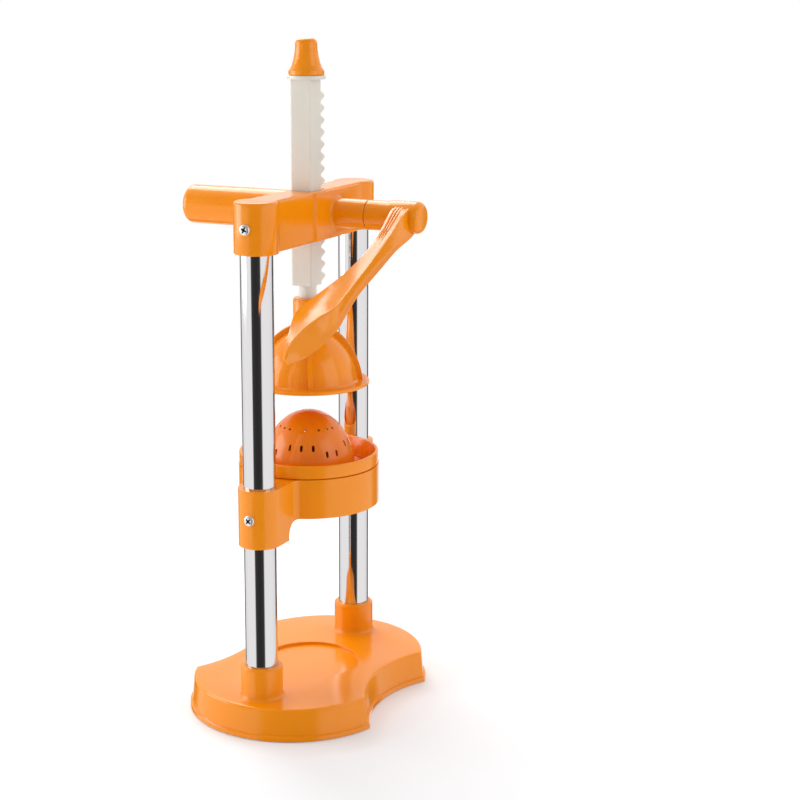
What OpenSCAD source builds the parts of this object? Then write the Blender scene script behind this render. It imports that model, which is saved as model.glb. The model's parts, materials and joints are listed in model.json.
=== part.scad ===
// Lever citrus juice press: two tube columns carry a base, a bowl bracket and a head.
// A crank lever turns a pinion in the head, and the pinion drives a toothed rack
// that pushes the press cup down over the strainer dome.
// Z is up, X is the crank shaft, the front column stands at -Y.

/* [Base] */
// Height of the base plate's top above the floor
base_h = 25.9; // [22:0.1:32]
// Radius of the bowed front and rear at the bottom lip
base_bow_r = 85; // [80:0.5:92]
// Distance of the bow centres from the middle
base_bow_y = 28; // [24:0.5:32]
// Radius of the hollowed left and right sides
base_waist_r = 102.5; // [95:0.5:115]
// Half width of the base at its waist
base_waist_x = 66; // [62:0.5:72]
// Wall of the moulded base shell
base_wall = 2.6; // [2:0.1:3.6]
// Thickness of the base plate
base_top_t = 3.4; // [2.8:0.1:4.5]
// Height of the bottom lip
lip_h = 3.4; // [2.5:0.1:5]
// Step of the bottom lip
lip_w = 1.7; // [1:0.1:2.5]
// Draft of the base wall over its height
base_draft = 1.7; // [0.8:0.1:3]
// Radius of the plate's top edge
base_edge_r = 2.2; // [1:0.1:3]
// Radius of the round recess for the vessel
recess_r = 40; // [34:0.5:44]
// Depth of the round recess
recess_d = 2.4; // [1.6:0.1:2.8]
// Top of the column sockets on the base
base_socket_z = 52; // [44:0.5:60]
// Radius of the rubber feet
foot_r = 10; // [8:0.5:11]
// Height of the rubber feet that shows under the base
foot_proud = 0.7; // [0.5:0.1:1.5]

/* [Columns] */
// Radius of the column tubes
col_r = 12.7; // [11:0.1:14]
// Wall of the column tubes
col_wall = 1.5; // [1.2:0.1:2.5]
// Distance of each column from the middle
col_y = 82; // [78:0.5:88]
// Wall of the sockets round the columns
socket_wall = 3.9; // [3.4:0.1:5]

/* [Bracket and bowl] */
// Top of the bracket
bracket_z = 196.8; // [190:0.5:205]
// Height of the bracket's column sockets
bracket_socket_h = 46.1; // [40:0.5:52]
// Height of the bracket's ring
ring_h = 31.4; // [26:0.5:34]
// How far the bracket's ring stands out past the bowl's collar
ring_proud = 0.5; // [0.3:0.1:2]
// Radius of the blends between the ring and its webs
bracket_blend_r = 8; // [4:0.5:14]
// Outer radius of the juice bowl's collar
bowl_r = 56.3; // [55.5:0.1:58]
// Height of the bowl's collar above the ring
bowl_collar_h = 10.7; // [9:0.1:13]
// Depth of the bowl's spigot in the ring
bowl_spigot_h = 7.5; // [6:0.1:9]
// Wall of the bowl
bowl_wall = 2.4; // [2:0.1:2.8]
// Outer radius of the bowl's spout
spout_r = 9; // [7:0.2:11]
// Length of the spout below the bowl
spout_h = 16; // [10:0.5:22]

/* [Strainer] */
// Radius of the strainer dome at its foot
dome_r = 37.2; // [34:0.1:37.4]
// Height of the strainer dome above the brim
dome_h = 47.4; // [40:0.1:48]
// Wall of the strainer
strainer_wall = 2; // [1.6:0.1:2.6]
// Width of a strainer slot
slot_w = 2.2; // [1.6:0.1:2.8]
// Length of a strainer slot
slot_l = 5.2; // [3.5:0.1:7]

/* [Press cup] */
// Underside of the cup's flange
cup_z = 262.7; // [262:0.1:266]
// Radius of the cup's flange
cup_flange_r = 49.1; // [46:0.1:50]
// Thickness of the cup's flange
cup_flange_t = 2.7; // [2:0.1:4]
// Radius of the cup's dome at the flange
cup_dome_r = 39.9; // [39.8:0.1:42]
// Height of the cup's dome
cup_dome_h = 46; // [45:0.1:50]
// Wall of the cup
cup_wall = 2.3; // [2:0.1:2.4]
// Height that the outer ribs stand out
cup_rib_h = 4; // [2:0.1:5]
// Thickness of the outer ribs
cup_rib_t = 4; // [2.5:0.1:6]
// Radius of the cup's neck
neck_r = 11.8; // [10.5:0.1:13]
// Length of the cup's neck above the roof of its dome
neck_h = 27.9; // [22:0.1:32]

/* [Rack and pinion] */
// Tooth module
gear_m = 3; // [2.8:0.1:3.2]
// Teeth of the pinion
pinion_teeth = 8; // [8:1:9]
// Width of the rack
rack_w = 17.8; // [16:0.2:18.4]
// Distance from the rack's back to its middle line
rack_back = 10.9; // [9:0.1:12]
// Place of the rack's pitch line in Y
rack_line_y = 10; // [9:0.1:11]
// Bare length of the stem between the cup's neck and the toothed bar
stem_free = 10.5; // [6:0.5:14]
// Underside of the collar at the rack's top
rack_z1 = 503; // [490:0.5:515]
// Radius of the rack's stem in the cup's neck
stem_r = 7; // [6:0.1:8]
// Radius of the collar at the rack's top
collar_r = 15; // [13:0.1:17]
// Thickness of the collar
collar_t = 3; // [2:0.1:4]
// Height of the cap on top of the rack
cap_h = 28; // [22:0.5:34]
// Radius of the cap at its foot
cap_r = 14; // [12:0.1:15]
// Radius of the cap at its top
cap_top_r = 8.6; // [6:0.1:10]
// Width of the pinion
pinion_w = 16; // [12:0.2:16.4]

/* [Head] */
// Underside of the head beam
head_z0 = 378; // [374:0.5:382]
// Height of the head beam
head_h = 39.5; // [38:0.5:44]
// Width of the head beam
head_w = 26; // [25.6:0.1:30]
// Radius of the head's sockets
head_socket_r = 17; // [16.6:0.1:19]
// Edge radius of the head
head_edge_r = 2.5; // [1:0.1:4]
// Radius of the crank shaft
shaft_r = 6; // [5.5:0.1:6.4]
// Outer radius of the shaft bushes
bush_r = 8; // [7.6:0.1:8.6]
// Radius of the boss on the crank side
boss_r = 11.8; // [11:0.1:13]
// Length of the boss on the crank side
boss_l = 29.8; // [24:0.2:34]
// How far the pad round the boss stands out from the beam
pad_t = 2; // [1:0.1:3]
// Radius of the blends between beam and sockets
head_blend_r = 8; // [4:0.5:14]
// Radius of the support grip
grip_r = 15.8; // [15:0.1:18]
// Length of the support grip
grip_l = 108; // [90:0.5:120]

/* [Crank lever] */
// Radius of the lever's hub
hub_r = 12.6; // [12.2:0.1:14.5]
// Distance of the hub's end from the middle
hub_x = 89.6; // [84:0.2:98]
// Reach of the lever's arm from the shaft
arm_reach = 206; // [180:1:220]
// Slope of the arm below the horizontal in degrees
arm_slope = 22; // [15:0.5:30]
// Height of the ribs at the arm's root
arm_rib_h = 1.1; // [0.5:0.1:1.8]

/* [Fits] */
// Radial clearance of parts that are pressed or seated together
seat_gap = 0.05; // [0.03:0.01:0.1]
// Radial clearance of the turning shaft
run_gap = 0.04; // [0.02:0.01:0.08]
// Clearance of loose and sliding parts
slide_gap = 0.4; // [0.3:0.05:0.6]
// Play between the teeth of rack and pinion
backlash = 0.3; // [0.2:0.05:0.5]

/* [Hidden] */
$fn = 96;

orange = "#F58A1F";
steel = "#C9CDD1";
milk = "#E6E2DA";
rubber = "#2B2B2D";
bronze = "#B08D57";

eps = 0.01;
cut = 1;

// Base
base_z0 = foot_proud;
waist_cx = base_waist_x + base_waist_r;
cavity_z = base_h - base_top_t;
socket_r = col_r + socket_wall;
socket_flare_r = 3;
socket_rim = 1.6;
under_boss_r = socket_r - 0.6;
rib_t = 2.2;
rib_z0 = base_z0 + 6;
recess_floor_t = 3;
foot_seat_t = 2.4;
foot_x = 57;
foot_y = 50;

// Bolts that hold the tubes down
bolt_r = 4;
bolt_head_r = 7.5;
bolt_head_h = 5.3;
washer_t = 1.6;
washer_r = 9;
pocket_r = washer_r + 1.6;
bolt_pocket_z = base_z0 + 0.3 + bolt_head_h + washer_t;
col_z0 = bolt_pocket_z + 5.5;
plug_h = 22;
plug_r = col_r - col_wall - seat_gap;

// Head
head_z1 = head_z0 + head_h;
head_roof = 4;
col_z1 = head_z1 - head_roof - 0.3;
shaft_z = head_z0 + head_h / 2;
pitch_r = gear_m * pinion_teeth / 2;
press_angle = 25;
tooth_shift = max(0, 1 - pinion_teeth * pow(sin(press_angle), 2) / 2);
shaft_y = rack_line_y + pitch_r + gear_m * tooth_shift;
tooth_up = 0.85 * gear_m;
pinion_tip_r = pitch_r + gear_m * tooth_shift + tooth_up;
pinion_root_r = pitch_r + gear_m * tooth_shift - gear_m - 0.75;
rack_tip_y = rack_line_y + gear_m;
rack_root_y = rack_line_y - 1.13 * gear_m;
tooth_pitch = PI * gear_m;
tooth_offset = -0.2 * tooth_pitch;
channel_w = rack_w + 2 * slide_gap;
pinion_room = 0.6;
pocket_w = max(channel_w, pinion_w + 2 * pinion_room);
pocket_y1 = shaft_y + pinion_tip_r + pinion_room;
pocket_z1 = shaft_z + pinion_tip_r + pinion_room;
cover_t = 2.5;
cover_w = pocket_w + 2.6;
cover_y0 = rack_tip_y + slide_gap + 0.6;
cover_y1 = pocket_y1 + 9;
cover_screw_r = 1.6;
cover_screw_x = cover_w / 2 - 3;
cover_screw_y = pocket_y1 + 4.6;

// Shaft line
boss_x0 = head_w / 2;
boss_x1 = boss_x0 + boss_l;
boss_blend_r = 3;
pad_half = 37.5;
web_inset = 1;
tail_boss_r = 11.4;
tail_boss_l = 14;
tail_x = -boss_x0 - tail_boss_l;
bush_x = pinion_w / 2 + 0.4;
groove_r = shaft_r - 0.7;
ring_t = 1;
ring_out_r = shaft_r + 2.4;
key_w = 4;
key_top = shaft_r + 1.8;
key_floor = shaft_r - 2;
key_l = pinion_w - 2;

// Support grip
grip_x0 = -boss_x0 - 0.3;
grip_x1 = grip_x0 - grip_l;
grip_bore_r = tail_boss_r + 0.15;
grip_socket_l = tail_boss_l + 6;
grip_wall = 3.2;
grip_end_r = 6;
grip_screw_x = -boss_x0 - 7;

// Crank lever
hub_x0 = boss_x1 + slide_gap;
shaft_x1 = hub_x - 5;
set_screw_x = hub_x0 + 9;
set_screw_r = 2.5;
rim_h = 3;
arm_rib_start = 0;
arm_rib_end = 0.28;

// Column cross screws
pan_r = 3.7;
pan_h = 2.1;
cross_r = 2;
head_screw_z = shaft_z;
bracket_screw_z = bracket_z - bracket_socket_h / 2;

// Bracket and bowl
ring_r = bowl_r + ring_proud;
ring_bore_r = bowl_r - 3.2;
ring_z0 = bracket_z - ring_h;
socket_z0 = bracket_z - bracket_socket_h;
lug_fillet = 12;
bowl_z = bracket_z + 0.3;
rim_z = bowl_z + bowl_collar_h;
spigot_r = ring_bore_r - slide_gap - 0.1;
spigot_z = bowl_z - bowl_spigot_h;
ledge_z = spigot_z + 1;
ledge_r = spigot_r - 6.4;
ledge_out_r = spigot_r - bowl_wall + 0.1;
rim_in_r = bowl_r - bowl_wall - 0.4;
funnel_z = ledge_z - 15;

// Strainer
brim_r = ledge_out_r - 2 * slide_gap;
brim_z = ledge_z + 0.3;
brim_t = 1.8;
dome_z = brim_z + brim_t;
drain_r = (brim_r + dome_r) / 2;

// Press cup
cup_dome_z = cup_z - 4.2;
cup_in_r = cup_dome_r - cup_wall;
cup_in_h = cup_dome_h - 0.4;
cup_out_h = cup_in_h + 4.2;
cup_roof_z = cup_dome_z + cup_in_h;
neck_z = cup_roof_z + neck_h;
rack_z0 = neck_z + stem_free;
stem_z0 = cup_roof_z + 12;
cup_bolt_r = 2.5;
rack_bevel = 1.6;
cup_washer_r = 7.5;
cup_washer_t = 1.2;
cap_post_r = 5;
cap_post_h = 15;
cap_lip_h = 3.4;

// Points along an arc from one angle to another
function arc(cx, cy, r, a0, a1, n = 6) =
    [for (i = [0:n]) let (a = a0 + (a1 - a0) * i / n) [cx + r * cos(a), cy + r * sin(a)]];

// Points along a quarter of an ellipse, from its foot to its top
function quarter(rx, ry, z, a0 = 0, a1 = 90, n = 14) =
    [for (i = [0:n]) let (a = a0 + (a1 - a0) * i / n) [rx * cos(a), z + ry * sin(a)]];

// Angle on an ellipse at which it reaches a radius
function angle_at(rx, r) = acos(r / rx);

// Turns a profile of [radius, x] round the crank shaft's line
module round_x() translate([0, shaft_y, shaft_z]) rotate([0, 90, 0]) rotate_extrude() children();

// Extrudes an outline drawn in Y and Z along X, centred
module along_x(w) translate([-w / 2, 0, 0]) rotate([90, 0, 90]) linear_extrude(w) children();

// Copies to the front and the rear column
module both_columns() for (s = [-1, 1]) translate([0, s * col_y, 0]) children();

// A pan-head screw that points along -Z with its head's seat at the origin
module pan_screw(len, r = cross_r, head_r = pan_r, head_h = pan_h) difference() {
    union() {
        translate([0, 0, -len]) cylinder(r = r, h = len + eps);
        rotate_extrude() polygon(concat([[0, 0], [head_r, 0], [head_r, head_h * 0.35]],
            arc(head_r - head_h * 0.65, head_h * 0.35, head_h * 0.65, 15, 90, 5), [[0, head_h]]));
    }
    for (a = [0, 90]) rotate([0, 0, a])
        translate([-head_r * 0.55, -head_r * 0.11, head_h * 0.35])
            cube([head_r * 1.1, head_r * 0.22, head_h]);
}

// Inset of the base wall against its height, from the lip up to the top edge
function base_edge() = concat(
    [[0, base_z0], [0, base_z0 + lip_h], [lip_w, base_z0 + lip_h + lip_w * 0.4]],
    [for (p = arc(base_edge_r, 0, base_edge_r, 180, 90))
        [lip_w + base_draft + p[0], base_h - base_edge_r + p[1]]]);

// The base's full outer form: two bows less the two waists
module base_form() difference() {
    for (s = [-1, 1]) translate([0, s * base_bow_y, 0]) rotate_extrude($fn = 128)
        polygon(concat([[0, base_z0]], [for (p = base_edge()) [base_bow_r - p[0], p[1]]], [[0, base_h]]));
    for (s = [-1, 1]) translate([s * waist_cx, 0, 0]) rotate_extrude($fn = 128)
        polygon(concat([[0, base_z0 - cut], [base_waist_r, base_z0 - cut]],
            [for (p = base_edge()) [base_waist_r + p[0], p[1]]],
            [[base_waist_r + lip_w + base_draft + base_edge_r, base_h + cut], [0, base_h + cut]]));
}

// The hollow under the base plate
module base_cavity() difference() {
    for (s = [-1, 1]) translate([0, s * base_bow_y, base_z0 - cut])
        cylinder(r1 = base_bow_r - base_wall - lip_w, r2 = base_bow_r - base_wall - lip_w - base_draft,
            h = cavity_z - base_z0 + cut, $fn = 128);
    for (s = [-1, 1]) translate([s * waist_cx, 0, base_z0 - 2 * cut])
        cylinder(r1 = base_waist_r + base_wall + lip_w, r2 = base_waist_r + base_wall + lip_w + base_draft,
            h = cavity_z - base_z0 + 3 * cut, $fn = 128);
}

// Stiffening ribs, foot seats and column bosses under the plate
module base_inside() {
    translate([-rib_t / 2, -col_y, rib_z0]) cube([rib_t, 2 * col_y, cavity_z - rib_z0 + eps]);
    for (y = [-foot_y, 0, foot_y]) translate([-base_bow_r, y - rib_t / 2, rib_z0])
        cube([2 * base_bow_r, rib_t, cavity_z - rib_z0 + eps]);
    translate([0, 0, rib_z0]) difference() {
        cylinder(r = recess_r + rib_t, h = cavity_z - rib_z0 + eps);
        translate([0, 0, -cut]) cylinder(r = recess_r, h = base_h);
    }
    translate([0, 0, base_h - recess_d - recess_floor_t])
        cylinder(r = recess_r + rib_t, h = recess_d + recess_floor_t - base_top_t + eps);
    for (x = [-foot_x, foot_x], y = [-foot_y, foot_y]) translate([x, y, base_z0])
        cylinder(r = foot_r + 2, h = cavity_z - base_z0 + eps);
    both_columns() translate([0, 0, base_z0]) cylinder(r = under_boss_r, h = cavity_z - base_z0 + eps);
}

module base_body() color(orange) difference() {
    union() {
        difference() {
            base_form();
            base_cavity();
        }
        intersection() {
            base_form();
            base_inside();
        }
        both_columns() rotate_extrude() polygon(concat(
            [[0, cavity_z], [socket_r + socket_flare_r, cavity_z]],
            arc(socket_r + socket_flare_r, base_h + socket_flare_r, socket_flare_r, 270, 180, 6),
            [[socket_r, base_socket_z - socket_rim], [socket_r - socket_rim, base_socket_z],
             [0, base_socket_z]]));
    }
    both_columns() {
        translate([0, 0, col_z0]) cylinder(r = col_r + seat_gap, h = base_socket_z);
        translate([0, 0, -cut]) cylinder(r = bolt_r + 0.3, h = base_h);
        translate([0, 0, -cut]) cylinder(r = pocket_r, h = bolt_pocket_z + cut);
    }
    translate([0, 0, base_h - recess_d]) cylinder(r = recess_r, h = recess_d + cut, $fn = 128);
    for (x = [-foot_x, foot_x], y = [-foot_y, foot_y]) translate([x, y, -cut])
        cylinder(r = foot_r + 0.1, h = base_z0 + foot_seat_t + cut);
}

module base_feet() color(rubber)
    for (x = [-foot_x, foot_x], y = [-foot_y, foot_y]) translate([x, y, 0]) rotate_extrude()
        polygon([[0, 0], [foot_r - 1, 0], [foot_r, 0.8], [foot_r, base_z0 + foot_seat_t - 0.05],
            [0, base_z0 + foot_seat_t - 0.05]]);

module base_bolts() color(steel) both_columns() {
    translate([0, 0, bolt_pocket_z - washer_t - bolt_head_h])
        cylinder(r = bolt_head_r, h = bolt_head_h, $fn = 6);
    translate([0, 0, bolt_pocket_z - washer_t - eps])
        cylinder(r = bolt_r - seat_gap, h = washer_t + col_z0 - bolt_pocket_z + plug_h * 0.8);
}

module base_washers() color(steel) both_columns()
    translate([0, 0, bolt_pocket_z - washer_t]) difference() {
        cylinder(r = washer_r, h = washer_t);
        translate([0, 0, -cut]) cylinder(r = bolt_r + 0.2, h = washer_t + 2 * cut);
    }

module column_plugs() color(steel) both_columns() translate([0, 0, col_z0]) difference() {
    cylinder(r = plug_r, h = plug_h);
    translate([0, 0, -cut]) cylinder(r = bolt_r, h = plug_h + 2 * cut);
}

// One column tube, with its two screw holes facing outwards
module column(side) color(steel) translate([0, side * col_y, 0]) difference() {
    translate([0, 0, col_z0]) cylinder(r = col_r, h = col_z1 - col_z0);
    translate([0, 0, col_z0 - cut]) cylinder(r = col_r - col_wall, h = col_z1 - col_z0 + 2 * cut);
    for (z = [bracket_screw_z, head_screw_z]) translate([0, 0, z]) rotate([-side * 90, 0, 0])
        cylinder(r = cross_r + seat_gap, h = 2 * col_r);
}

module front_column() column(-1);

module rear_column() column(1);

// A screw for each column at a height, with its head on a socket of the given radius
module column_screws(z, r) color(steel)
    for (s = [-1, 1]) translate([0, s * (col_y + r), z]) rotate([-s * 90, 0, 0])
        pan_screw(r - col_r + col_wall + 3);

// Plan of one web, as wide as its socket, that runs into the ring with round corners
module web_plan() {
    c_x = socket_r + bracket_blend_r;
    c_y = sqrt(pow(ring_r + bracket_blend_r, 2) - pow(c_x, 2));
    share = ring_r / (ring_r + bracket_blend_r);
    difference() {
        polygon([[-c_x * share, c_y * share], [-c_x, c_y], [-socket_r, c_y], [-socket_r, col_y],
            [socket_r, col_y], [socket_r, c_y], [c_x, c_y], [c_x * share, c_y * share]]);
        for (s = [-1, 1]) translate([s * c_x, c_y]) circle(r = bracket_blend_r, $fn = 64);
    }
}

module bowl_bracket() color(orange) difference() {
    union() {
        translate([0, 0, ring_z0]) cylinder(r = ring_r, h = ring_h, $fn = 128);
        both_columns() translate([0, 0, socket_z0]) cylinder(r = socket_r, h = bracket_socket_h);
        for (a = [0, 180]) rotate([0, 0, a]) difference() {
            translate([0, 0, socket_z0]) linear_extrude(bracket_socket_h) web_plan();
            translate([-ring_r, 0, socket_z0 - cut])
                cube([2 * ring_r, col_y - socket_r - lug_fillet, ring_z0 - socket_z0 + cut]);
            translate([-ring_r, col_y - socket_r - lug_fillet, ring_z0 - lug_fillet])
                rotate([0, 90, 0]) cylinder(r = lug_fillet, h = 2 * ring_r);
            translate([-ring_r, 0, socket_z0 - cut])
                cube([2 * ring_r, col_y - socket_r, ring_z0 - lug_fillet - socket_z0 + cut]);
        }
    }
    translate([0, 0, ring_z0 - cut]) cylinder(r = ring_bore_r, h = ring_h + 2 * cut, $fn = 128);
    both_columns() translate([0, 0, socket_z0 - cut])
        cylinder(r = col_r + seat_gap, h = bracket_socket_h + 2 * cut);
    for (s = [-1, 1]) translate([0, s * col_y, bracket_screw_z]) rotate([-s * 90, 0, 0])
        cylinder(r = cross_r + 0.2, h = 2 * socket_r);
}

module bracket_screws() column_screws(bracket_screw_z, socket_r);

module juice_bowl() color(orange) rotate_extrude($fn = 128) polygon(concat(
    [[spout_r - 0.6, funnel_z - spout_h], [spout_r, funnel_z - 2]],
    arc(spout_r + 4, funnel_z - 2, 4, 180, 110, 4),
    [[spigot_r - 4, spigot_z - 2], [spigot_r, spigot_z], [spigot_r, bowl_z],
     [bowl_r - 0.8, bowl_z], [bowl_r, bowl_z + 0.8]],
    arc(bowl_r - 1.2, rim_z - 1.2, 1.2, 0, 90, 4),
    arc(rim_in_r + 1, rim_z - 1, 1, 90, 180, 4),
    [[ledge_out_r, ledge_z + 4], [ledge_out_r, ledge_z], [ledge_r, ledge_z], [ledge_r, ledge_z - 2]],
    arc(spout_r + 2, funnel_z + 2.4, 3, 105, 180, 4),
    [[spout_r - 2.2, funnel_z - spout_h]]));

// A slot with round ends, cut along X through the wall
module slot_cutter(l, w) rotate([90, 0, 90]) linear_extrude(6 * strainer_wall, center = true) {
    if (l > w) square([w, l - w], center = true);
    for (y = l > w ? [-1, 1] : [0]) translate([0, y * (l - w) / 2]) circle(r = w / 2, $fn = 24);
}

// Rows of the strainer: height share of the dome, slot length and places in a quarter turn
strainer_rows = [
    [0.76, slot_w, [21, 47, 65, 79]],
    [0.49, slot_l, [0, 17, 34]],
    [0.38, slot_l, [53, 68]]
];

module strainer_cone() color(orange) difference() {
    rotate_extrude($fn = 128) polygon(concat(
        [[brim_r, brim_z], [brim_r, dome_z - 0.5], [brim_r - 0.5, dome_z], [dome_r + 2, dome_z]],
        arc(dome_r + 2, dome_z + 2, 2, 270, 200, 4),
        quarter(dome_r, dome_h, dome_z, 4, 90),
        quarter(dome_r - strainer_wall, dome_h - strainer_wall, dome_z, 90, 0),
        [[dome_r - strainer_wall, brim_z]]));
    for (row = strainer_rows, q = [0:3], a = row[2]) {
        row_z = dome_z + dome_h * row[0];
        tilt = atan(dome_r / dome_h * tan(asin(row[0])));
        row_r = dome_r * cos(asin(row[0]));
        rotate([0, 0, 90 * q + a]) translate([row_r, 0, row_z]) rotate([0, -tilt, 0])
            slot_cutter(row[1], slot_w);
    }
    for (q = [0:15]) rotate([0, 0, 22.5 * q]) translate([drain_r, 0, brim_z - cut])
        cylinder(r = 1.5, h = brim_t + 2 * cut, $fn = 24);
}

module press_cup() color(orange) difference() {
    union() {
        rotate_extrude($fn = 128) polygon(concat(
            [[0, cup_z], [cup_flange_r - 0.6, cup_z], [cup_flange_r, cup_z + 0.6],
             [cup_flange_r, cup_z + cup_flange_t - 0.6], [cup_flange_r - 0.6, cup_z + cup_flange_t]],
            arc(cup_dome_r + 2, cup_z + cup_flange_t + 2.6, 2.6, 270, 190, 4),
            quarter(cup_dome_r, cup_out_h, cup_dome_z, 13, angle_at(cup_dome_r, neck_r + 2)),
            [[neck_r, cup_dome_z + cup_out_h + 1], [neck_r, neck_z - 1], [neck_r - 1, neck_z], [0, neck_z]]));
        for (q = [0:3]) rotate([0, 0, 30 + 90 * q]) rotate([90, 0, 0])
            linear_extrude(cup_rib_t, center = true) polygon(concat([[cup_dome_r - cup_wall / 2, cup_z + 1]],
                quarter(cup_dome_r + cup_rib_h, cup_out_h + cup_rib_h, cup_dome_z, 7,
                    angle_at(cup_dome_r + cup_rib_h, neck_r - 1)),
                [[neck_r - 1, cup_roof_z + 2]],
                quarter(cup_dome_r - 1, cup_out_h - 1, cup_dome_z, 72, 10, 8)));
    }
    rotate_extrude($fn = 128) polygon(concat([[0, cup_z - cut], [cup_in_r * cos(5), cup_z - cut]],
        quarter(cup_in_r, cup_in_h, cup_dome_z, 5, 90)));
    translate([0, 0, stem_z0]) cylinder(r = stem_r + seat_gap, h = neck_z);
    translate([0, 0, cup_roof_z - cut]) cylinder(r = cup_bolt_r + 0.2, h = neck_z);
    translate([0, 0, cup_dome_z]) cylinder(r = cup_washer_r + 1, h = cup_in_h + 0.4);
}

module cup_washer() color(steel) translate([0, 0, cup_roof_z + 0.35 - cup_washer_t]) difference() {
    cylinder(r = cup_washer_r, h = cup_washer_t);
    translate([0, 0, -cut]) cylinder(r = cup_bolt_r + 0.1, h = cup_washer_t + 2 * cut);
}

module cup_screw() color(steel)
    translate([0, 0, cup_roof_z + 0.3 - cup_washer_t]) rotate([180, 0, 0])
        pan_screw(28, cup_bolt_r, 4.6, 2.6);

// Rounding of a rack tooth: depth under the tip and how far each point lies out from the tip's edge
tooth_round = [[1, tan(press_angle)], [0.3, 0.05], [0, -0.6]];

// One rack tooth: its flanks lean by the pressure angle and its tip is rounded
function rack_tooth(zc) = let (
        half = tooth_pitch / 4 - backlash / 4,
        tip = half - gear_m * tan(press_angle),
        foot = half + (rack_line_y - rack_root_y) * tan(press_angle))
    concat([[rack_root_y, zc - foot]],
        [for (s = [-1, 1], p = s < 0 ? tooth_round : [for (i = [2:-1:0]) tooth_round[i]])
            [rack_tip_y - p[0], zc + s * (tip + p[1])]],
        [[rack_root_y, zc + foot]]);

module gear_rack() color(milk) {
    first = ceil((rack_z0 + tooth_pitch / 2 - shaft_z - tooth_offset) / tooth_pitch);
    last = floor((rack_z1 - tooth_pitch / 2 - shaft_z - tooth_offset) / tooth_pitch);
    difference() {
        union() {
            along_x(rack_w) polygon(concat([[-rack_back + 0.8, rack_z0], [rack_root_y, rack_z0]],
                [for (k = [first:last], p = rack_tooth(shaft_z + tooth_offset + k * tooth_pitch)) p],
                [[rack_root_y, rack_z1 + eps], [-rack_back, rack_z1 + eps], [-rack_back, rack_z0 + 0.8]]));
            translate([0, 0, stem_z0 + 0.3]) cylinder(r = stem_r, h = rack_z0 - stem_z0 + 1);
            translate([0, 0, rack_z1]) rotate_extrude() polygon([[0, 0], [collar_r - 0.5, 0], [collar_r, 0.5],
                [collar_r, collar_t - 0.5], [collar_r - 0.5, collar_t], [0, collar_t]]);
            translate([0, 0, rack_z1]) cylinder(r = cap_post_r, h = collar_t + cap_post_h);
        }
        translate([0, 0, stem_z0]) cylinder(r = cup_bolt_r + seat_gap, h = 20);
        for (s = [-1, 1]) translate([s * rack_w / 2, -rack_back, (rack_z0 + rack_z1) / 2]) rotate([0, 0, 45])
            cube([rack_bevel, rack_bevel, rack_z1 - rack_z0 + cut], center = true);
    }
}

module rack_cap() color(orange) translate([0, 0, rack_z1 + collar_t]) difference() {
    rotate_extrude() polygon(concat([[0, 0], [cap_r - 0.6, 0], [cap_r, 0.8], [cap_r, cap_lip_h]],
        [for (i = [1:7]) let (t = i / 8)
            [cap_top_r + (cap_r - 0.8 - cap_top_r) * pow(1 - t, 2), cap_lip_h + (cap_h - cap_lip_h - 4) * t]],
        arc(cap_top_r - 4, cap_h - 4, 4, 0, 90, 6), [[0, cap_h]]));
    translate([0, 0, -cut]) cylinder(r = cap_post_r + seat_gap, h = cap_post_h + 0.3 + cut);
}

// Outline of a bar with rounded edges, centred
module round_bar(w, h, r) {
    square([w - 2 * r, h], center = true);
    square([w, h - 2 * r], center = true);
    for (x = [-1, 1], y = [-1, 1]) translate([x * (w / 2 - r), y * (h / 2 - r)]) circle(r = r, $fn = 32);
}

// Plan of the corner that blends the beam's side into a socket
module head_web_plan() {
    c_x = head_w / 2 + head_blend_r;
    c_y = col_y - sqrt(pow(head_socket_r + head_blend_r, 2) - pow(c_x, 2));
    share = head_socket_r / (head_socket_r + head_blend_r);
    difference() {
        polygon([[head_w / 4, c_y], [c_x, c_y], [c_x * share, col_y + (c_y - col_y) * share],
            [head_w / 4, col_y]]);
        translate([c_x, c_y]) circle(r = head_blend_r, $fn = 64);
    }
}

module head_form() {
    translate([0, 0, shaft_z]) rotate([90, 0, 0])
        linear_extrude(2 * col_y, center = true) round_bar(head_w, head_h, head_edge_r);
    both_columns() rotate_extrude() polygon(concat([[0, head_z0]],
        arc(head_socket_r - 1, head_z0 + 1, 1, 270, 360, 3),
        arc(head_socket_r - head_edge_r, head_z1 - head_edge_r, head_edge_r, 0, 90, 5), [[0, head_z1]]));
    for (a = [0, 180], s = [0, 1]) rotate([0, 0, a]) mirror([s, 0, 0])
        translate([0, 0, head_z0 + web_inset]) linear_extrude(head_h - 2 * web_inset) head_web_plan();
    translate([0, shaft_y, head_z0 + web_inset]) linear_extrude(head_h - 2 * web_inset)
        polygon([[0, -pad_half], [boss_x0, -pad_half], [boss_x0 + pad_t, pad_t - pad_half],
            [boss_x0 + pad_t, pad_half - pad_t], [boss_x0, pad_half], [0, pad_half]]);
    round_x() polygon(concat([[0, 0], [boss_r + boss_blend_r, 0]],
        arc(boss_r + boss_blend_r, boss_x0 + pad_t + boss_blend_r, boss_blend_r, 270, 180, 5),
        [[boss_r, boss_x1 - 0.5], [boss_r - 0.5, boss_x1], [0, boss_x1]]));
    round_x() polygon([[0, 0], [0, tail_x], [tail_boss_r - 0.8, tail_x], [tail_boss_r, tail_x + 0.8],
        [tail_boss_r, 0]]);
}

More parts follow.
